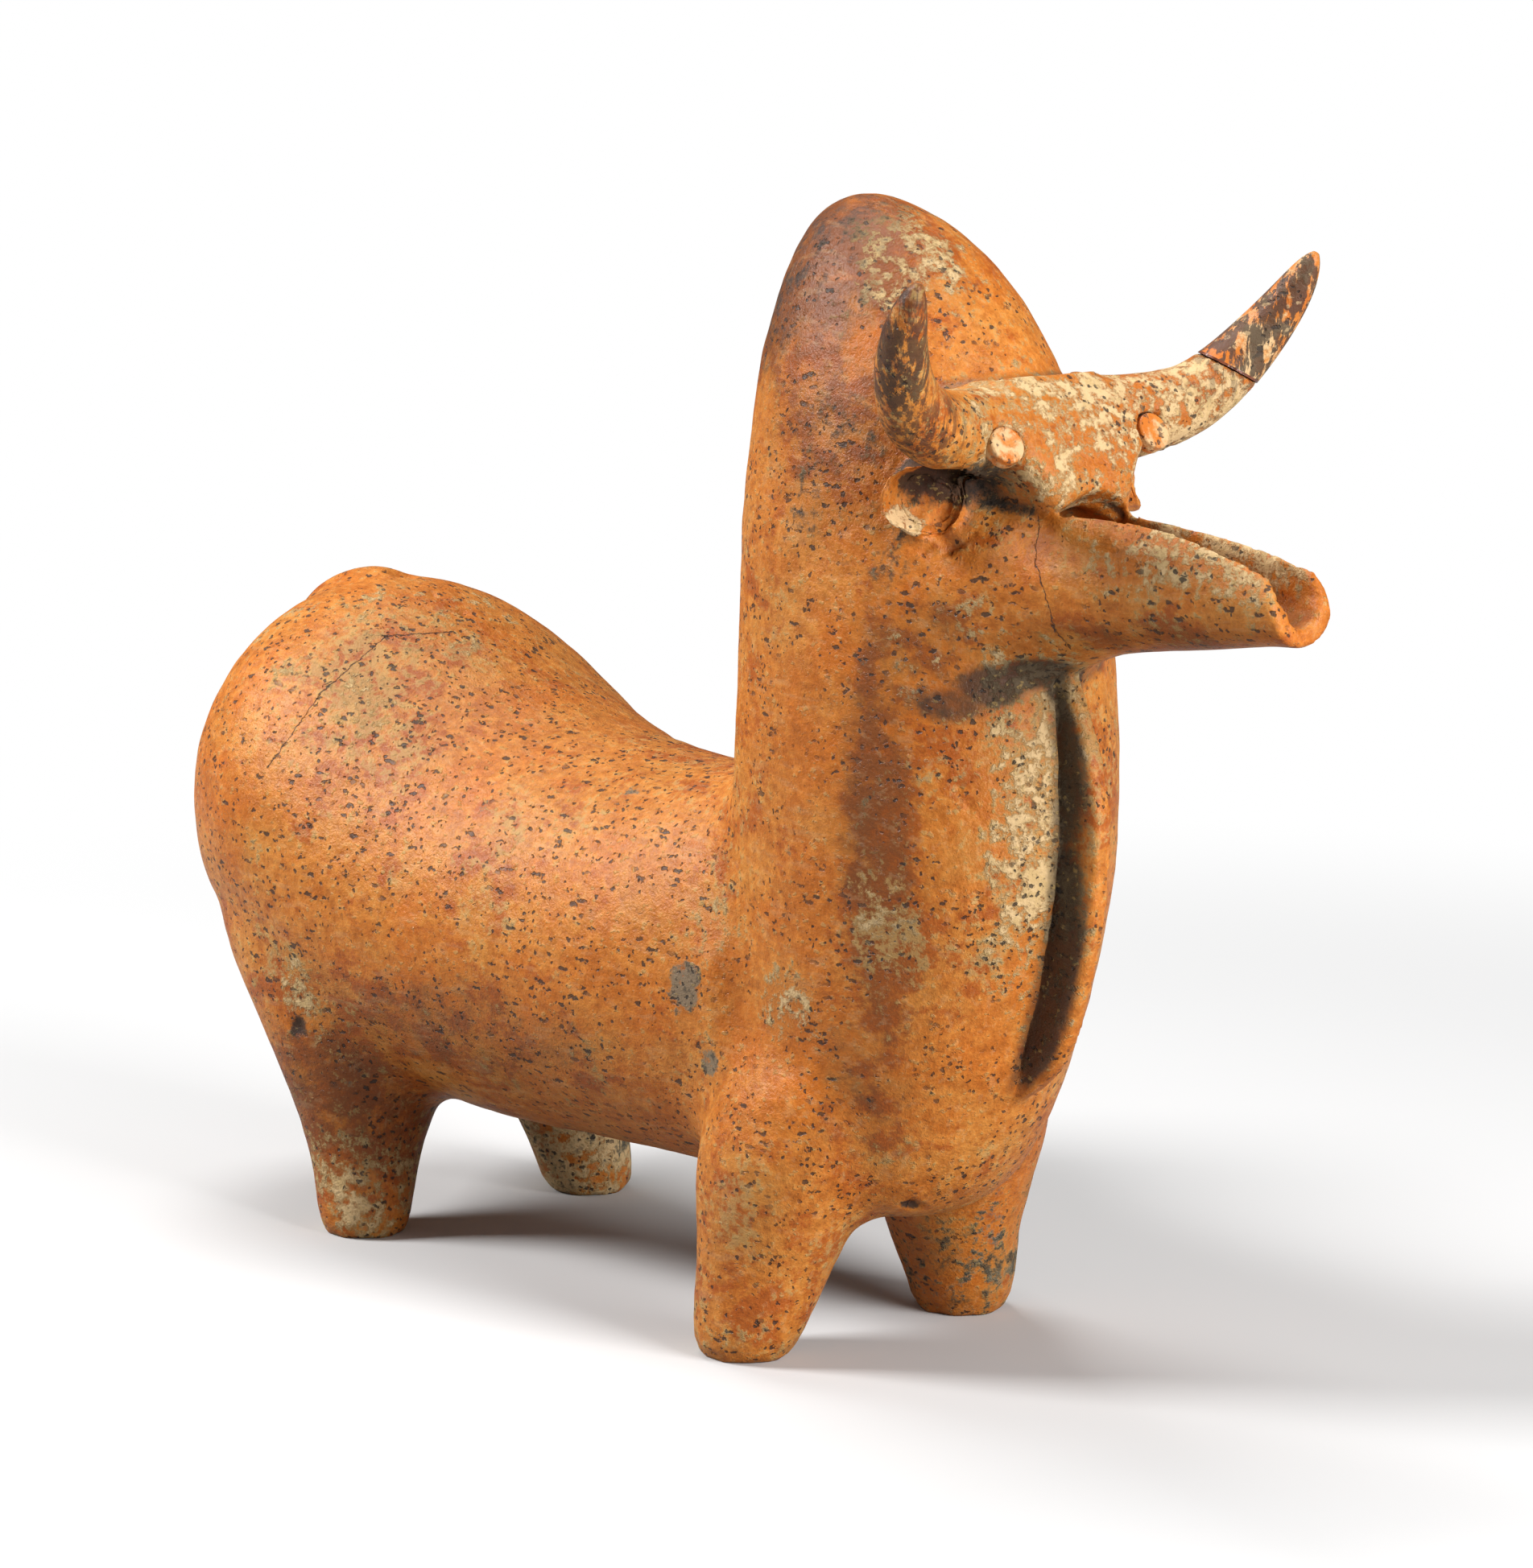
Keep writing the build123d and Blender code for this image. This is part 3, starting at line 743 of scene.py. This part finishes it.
def clay_finish():
    """Burnished orange slip with red-brown firing, lime crust, soot, bloom, specks, pits and hairline cracks, with
    painted shade in creases, folds and hollows and painted highlights on the hip and the rump.
    """
    ready = bpy.data.materials.get("burnished_clay_finish")
    if ready:
        return ready
    _, clay, _ = settings()
    mix = Finish("burnished_clay_finish")
    where = mix.place()
    broad = mix.cloud(where, 52.0, 3.0, 0.5)
    middle = mix.cloud(where, 15.0, 9.0, 0.70)
    other = mix.cloud(mix.stretched(where, (0.8, 1.0, 1.1)), 9.0, 8.0, 0.72)
    fine = mix.cloud(where, 2.6, 5.0, 0.7)
    grain = mix.cloud(where, 0.6, 2.0, 0.6)
    pale, dark, red = mix.mark("pale"), mix.mark("dark"), mix.mark("red")
    bloom, crease, torn = mix.mark("bloom"), mix.mark("crease"), mix.mark("torn")
    streaked = mix.mark("streaked")

    tone = mix.colour((middle * 0.5 + broad * 0.3 + fine * 0.3).rise(0.44, 0.64), clay.slip, clay.bright_slip)
    rust = (other + (broad - 0.5) * 0.7 + red * 0.16).rise(0.53, 0.64)
    tone = mix.colour(rust * 0.80, tone, clay.rust)
    deep = (red * 0.40 + other * 0.8 + middle * 0.4 + (fine - 0.5) * 0.7).rise(0.74, 1.08)
    tone = mix.colour(deep * 0.85, tone, clay.deep_slip)
    rub = mix.cloud(mix.stretched(where, (0.10, 0.9, 0.6)), 1.4, 3.0, 0.6)
    tone = mix.colour(rub.rise(0.52, 0.66) * 0.16, tone, clay.deep_slip)
    tone = mix.colour(rub.rise(0.45, 0.34) * 0.14, tone, clay.lime)

    # The pale mark also carries the painted highlights of the hip and the rump into this dust and crust.
    dusting = (middle * 0.45 + other * 0.25 + fine * 0.55 + (broad - 0.5) * 0.35 + pale * 0.12).rise(0.68, 0.75)
    crust = (pale * 0.33 + middle * 0.70 + (fine - 0.5) * 0.8 + (other - 0.5) * 0.5).rise(0.55, 0.67)
    tone = mix.times(tone, 0.46 + fine * 0.92 + (other - 0.5) * 0.6 + (grain - 0.5) * 0.4)
    tone = mix.colour(dusting * 0.60, tone, clay.olive)
    tone = mix.colour(crust * 0.9, tone, clay.lime)
    tone = mix.colour(crust * other.rise(0.50, 0.62) * 0.5, tone, clay.olive)

    # Smoke and burial stains from the dark mark, together with the shade it paints under the head and in the vent,
    # ear hole and throat.
    darkening = (dark * 0.66 + (middle - 0.5) * 1.3 + (fine - 0.5) * 1.3).rise(0.26, 0.60)
    tone = mix.colour(darkening * 0.9, tone, clay.soot_and_shade)
    streaks = mix.cloud(mix.stretched(where, (0.8, 0.8, 0.12)), 1.2, 4.0, 0.65)
    streaks = (streaks + streaked * 0.22).rise(0.60, 0.70) * streaked
    tone = mix.colour(streaks * 0.85, tone, clay.soot_and_shade)
    stain = (bloom + (fine - 0.5) * 1.0 + (other - 0.5) * 1.6).rise(0.30, 0.50)
    tone = mix.colour(stain * 0.85, tone, clay.bloom)
    tone = mix.colour(stain * fine.rise(0.52, 0.60) * 0.6, tone, clay.soot_and_shade)

    # Painted shade in hollow creases, the dewlap's groove and the fold under the spout.
    painted_crease_shade = (crease + (fine - 0.5) * 0.8 + (other - 0.5) * 0.6).rise(0.14, 0.85)
    tone = mix.colour(painted_crease_shade * 0.85, tone, clay.soot_and_shade)
    worn = (crease * -1.0 + (middle - 0.5) * 1.4).rise(0.5, 0.9)
    tone = mix.colour(worn * 0.35, tone, clay.lime)

    strokes, specks, flecks = flecked(mix, where, fine)
    tone = mix.colour(flecks * (1.0 - deep) * 0.5, tone, clay.olive)
    tone = mix.colour(strokes.most(specks) * 0.85, tone, clay.soot_and_shade)
    crack = cracked(mix, where, fine) * other.rise(0.36, 0.46)
    tone = mix.colour(crack * 0.85, tone, clay.soot_and_shade)

    rough = 0.36 + 0.36 * crust.most(torn) + 0.2 * darkening + 0.12 * dusting + (grain - 0.5) * 0.35
    height = (
        grain * 0.16 + fine * 0.36 + other * 0.35 + crust * 0.22 + flecks * 0.10 - specks * 0.32
        - strokes * 0.24 + torn * middle * 0.5 - crack * 0.5
    )
    return mix.close(tone, rough.least(0.95), height, MM, Specular_IOR_Level=0.27)


def plain_clay_finish(name, lime_share, soot_share):
    """The same clay for the small separate pieces, with even shares of crust and soot."""
    _, clay, _ = settings()
    mix = Finish(name)
    where = mix.place()
    middle = mix.cloud(where, 11.0, 4.0, 0.62)
    fine = mix.cloud(where, 3.0, 5.0, 0.65)
    grain = mix.cloud(where, 0.55, 2.0, 0.6)
    tone = mix.colour(middle.rise(0.35, 0.65), clay.slip, clay.bright_slip)
    crust = (middle * 0.6 + fine * 0.4).rise(0.62 - lime_share * 0.3, 0.72 - lime_share * 0.3)
    tone = mix.colour(crust * 0.85, tone, clay.lime)
    smear = mix.cloud(mix.stretched(where, (0.8, 0.8, 0.2)), 1.8, 4.0, 0.65)
    darkening = smear.rise(0.66 - soot_share * 0.2, 0.72 - soot_share * 0.2)
    tone = mix.colour(darkening * 0.85, tone, clay.soot_and_shade)
    strokes, specks, flecks = flecked(mix, where, fine)
    tone = mix.colour(flecks * 0.45, tone, clay.lime)
    tone = mix.colour(strokes.most(specks) * 0.75, tone, clay.soot_and_shade)
    rough = 0.42 + 0.3 * crust + 0.15 * darkening + (grain - 0.5) * 0.3
    height = grain * 0.14 + fine * 0.22 + crust * 0.16 - specks * 0.28 - strokes * 0.18
    return mix.close(tone, rough.least(0.95), height, MM, Specular_IOR_Level=0.42)


def glue_finish():
    """Aged, glossy glue."""
    _, clay, _ = settings()
    mix = Finish("old_glue_finish")
    where = mix.place()
    lumps = mix.cloud(where, 2.2, 3.0, 0.6)
    tone = mix.colour(lumps.rise(0.4, 0.65), clay.glue, tuple(2.2 * part for part in clay.glue))
    return mix.close(tone, 0.16 + lumps * 0.25, lumps * 0.4, MM, Coat_Weight=0.4)


def dress(name, finish):
    """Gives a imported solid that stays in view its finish."""
    solid = nodes[name]
    solid.material_slots[0].material = finish


class VESSEL_OT_legs(Operator):
    """Skins all clay and cuts the four worn feet from it"""

    bl_idname = "vessel.legs"
    bl_label = "Legs"

    def execute(self, context):
        build_stock()
        feet = ("rear_right_leg", "rear_left_leg", "front_right_leg", "front_left_leg")
        slice_off("feet_skin", feet, "Z", 30.0, True)
        return {"FINISHED"}


class VESSEL_OT_barrel(Operator):
    """Cuts the skin of the rump with its tail, of the loin and of the belly"""

    bl_idname = "vessel.barrel"
    bl_label = "Rump and belly"

    def execute(self, context):
        slice_off("rump_skin", ("body_barrel", "tail"), "X", -92.0, True)
        slice_off("loin_skin", ("body_barrel",), "X", -36.0, True)
        slice_off("belly_skin", ("body_barrel",), "X", 14.0, True)
        return {"FINISHED"}


class VESSEL_OT_spout(Operator):
    """Cuts the open trough of the pouring spout"""

    bl_idname = "vessel.spout"
    bl_label = "Pouring spout"

    def execute(self, context):
        slice_off("pouring_spout_skin", ("pouring_spout",), "X", 120.5, False)
        return {"FINISHED"}


class VESSEL_OT_head_and_neck(Operator):
    """Cuts the chest and leaves the hump, head, horns and ears"""

    bl_idname = "vessel.head_and_neck"
    bl_label = "Chest, hump and head"

    def execute(self, context):
        slice_off("chest_skin", ("neck_and_hump", "dewlap"), "Z", 142.0, True)
        stands_for = ("head", "spout_root", "right_horn", "left_horn_base", "left_ear_stump", "right_ear_stump")
        clay_piece("hump_and_head_skin", bpy.data.meshes[CLAY_STOCK], stands_for)
        return {"FINISHED"}


class VESSEL_OT_eyes(Operator):
    """Gives the two pressed-on eye discs their crust"""

    bl_idname = "vessel.eyes"
    bl_label = "Eyes"

    def execute(self, context):
        finish = plain_clay_finish("eye_clay_finish", 0.56, 0.3)
        dress("right_eye", finish)
        dress("left_eye", finish)
        return {"FINISHED"}


class VESSEL_OT_mended_horn(Operator):
    """Gives the broken and glued left horn tip its streaks and the glue its gloss"""

    bl_idname = "vessel.mended_horn"
    bl_label = "Mended horn"

    def execute(self, context):
        dress("left_horn_tip", plain_clay_finish("horn_tip_finish", 0.45, 1.15))
        dress("horn_glue_line", glue_finish())
        return {"FINISHED"}


class VESSEL_OT_studio(Operator):
    """Lays the pale floor, hangs the lamps and sets the camera"""

    bl_idname = "vessel.studio"
    bl_label = "Studio"

    def execute(self, context):
        lay_floor()
        hang_lamps()
        set_camera()
        return {"FINISHED"}


def lay_floor():
    """A pale floor that fades into a white background for the eye and keeps the shadow."""
    bm = bmesh.new()
    bmesh.ops.create_grid(bm, x_segments=4, y_segments=4, size=6.0)
    mesh = bpy.data.meshes.new("pale_floor")
    bm.to_mesh(mesh)
    bm.free()
    floor = bpy.data.objects.new("pale_floor", mesh)
    bpy.context.scene.collection.objects.link(floor)
    mix = Finish("pale_floor_finish")
    path = mix.node("ShaderNodeLightPath")
    seen = Wire(mix, path.outputs["Is Camera Ray"])
    where = mix.place()
    away = mix.add("ShaderNodeVectorMath", {"operation": "LENGTH"}, {0: where}, "Value")
    share = seen * away.rise(330.0, 620.0)
    tint = mix.colour(seen, (0.30, 0.30, 0.30), (0.64, 0.64, 0.64))
    matt = mix.node("ShaderNodeBsdfDiffuse", None, {"Color": tint})
    glow = mix.node("ShaderNodeEmission", None, {"Color": (1.0, 1.0, 1.0, 1.0), "Strength": 1.0})
    both = mix.node("ShaderNodeMixShader", None, {0: share})
    mix.tree.links.new(matt.outputs[0], both.inputs[1])
    mix.tree.links.new(glow.outputs[0], both.inputs[2])
    end = mix.node("ShaderNodeOutputMaterial")
    mix.tree.links.new(both.outputs[0], end.inputs["Surface"])
    mesh.materials.append(mix.material)


def hang_lamps():
    """Two soft boxes and the even light of a pale room."""
    _, _, studio = settings()
    lamps = (
        ("key_lamp", (-0.85, -0.92, 1.10), studio.key_power, (0.5, 0.5)),
        ("top_lamp", (-0.45, 0.10, 1.60), studio.side_power, (0.6, 0.6)),
        ("chest_lamp", (1.25, 0.12, 0.55), studio.fill_power, (0.6, 0.8)),
    )
    for name, place, power, size in lamps:
        lamp = bpy.data.lights.new(name, "AREA")
        lamp.shape = "RECTANGLE"
        lamp.size, lamp.size_y = size
        lamp.energy = power
        holder = bpy.data.objects.new(name, lamp)
        holder.location = place
        aim = Vector((0.0, 0.0, 0.11)) - Vector(place)
        holder.rotation_euler = aim.to_track_quat("-Z", "Y").to_euler()
        bpy.context.scene.collection.objects.link(holder)

    world = bpy.data.worlds.new("pale_room")
    bpy.context.scene.world = world
    world.use_nodes = True
    tree = world.node_tree
    tree.nodes.clear()
    path = tree.nodes.new("ShaderNodeLightPath")
    first = tree.nodes.new("ShaderNodeMath")
    first.operation = "MAXIMUM"
    tree.links.new(path.outputs["Is Camera Ray"], first.inputs[0])
    tree.links.new(path.outputs["Is Transmission Ray"], first.inputs[1])
    room = tree.nodes.new("ShaderNodeBackground")
    room.inputs["Strength"].default_value = studio.sky
    white = tree.nodes.new("ShaderNodeBackground")
    white.inputs["Color"].default_value = (1.0, 1.0, 1.0, 1.0)
    white.inputs["Strength"].default_value = 1.0
    both = tree.nodes.new("ShaderNodeMixShader")
    tree.links.new(first.outputs[0], both.inputs[0])
    tree.links.new(room.outputs[0], both.inputs[1])
    tree.links.new(white.outputs[0], both.inputs[2])
    end = tree.nodes.new("ShaderNodeOutputWorld")
    tree.links.new(both.outputs[0], end.inputs["Surface"])
    room.inputs["Color"].default_value = (1.0, 1.0, 1.0, 1.0)


def set_camera():
    """The camera of the photograph: level, looking down on the vessel from its right front."""
    _, _, studio = settings()
    camera = bpy.data.cameras.new("camera")
    camera.lens = studio.lens
    camera.sensor_width = 36.0
    camera.clip_end = 50.0
    camera.clip_start = 0.05
    holder = bpy.data.objects.new("camera", camera)
    look = Vector(studio.camera_look).normalized()
    side = look.cross(Vector((0.0, 0.0, 1.0))).normalized()
    up = side.cross(look)
    turn = Matrix((side, up, -look)).transposed()
    holder.matrix_world = Matrix.Translation(Vector(studio.camera_place)) @ turn.to_4x4()
    bpy.context.scene.collection.objects.link(holder)
    bpy.context.scene.camera = holder
    bpy.context.scene.view_settings.view_transform = "Standard"


STEPS = (
    VESSEL_OT_legs, VESSEL_OT_barrel, VESSEL_OT_spout, VESSEL_OT_head_and_neck,
    VESSEL_OT_eyes, VESSEL_OT_mended_horn, VESSEL_OT_studio,
)


class VESSEL_PT_steps(Panel):
    """Lists the steps that dress the vessel"""

    bl_idname = "VESSEL_PT_steps"
    bl_label = "Vessel"
    bl_space_type = "VIEW_3D"
    bl_region_type = "UI"
    bl_category = "Vessel"

    def draw(self, context):
        column = self.layout.column()
        for step in STEPS:
            column.operator(step.bl_idname)


GROUPS = {"vessel_skin": VesselSkin, "vessel_clay": VesselClay, "vessel_studio": VesselStudio}


def register():
    """Makes the settings, the steps and the panel known to Blender."""
    for name, group in GROUPS.items():
        bpy.utils.register_class(group)
        setattr(bpy.types.Scene, name, PointerProperty(type=group))
    for step in STEPS:
        bpy.utils.register_class(step)
    bpy.utils.register_class(VESSEL_PT_steps)


def unregister():
    """Takes them out again."""
    bpy.utils.unregister_class(VESSEL_PT_steps)
    for step in reversed(STEPS):
        bpy.utils.unregister_class(step)
    for name, group in reversed(GROUPS.items()):
        delattr(bpy.types.Scene, name)
        bpy.utils.unregister_class(group)


def main():
    """Dresses the vessel step by step."""
    register()
    bpy.ops.vessel.legs()
    bpy.ops.vessel.barrel()
    bpy.ops.vessel.spout()
    bpy.ops.vessel.head_and_neck()
    bpy.ops.vessel.eyes()
    bpy.ops.vessel.mended_horn()
    bpy.ops.vessel.studio()


if __name__ == "__main__":
    main()
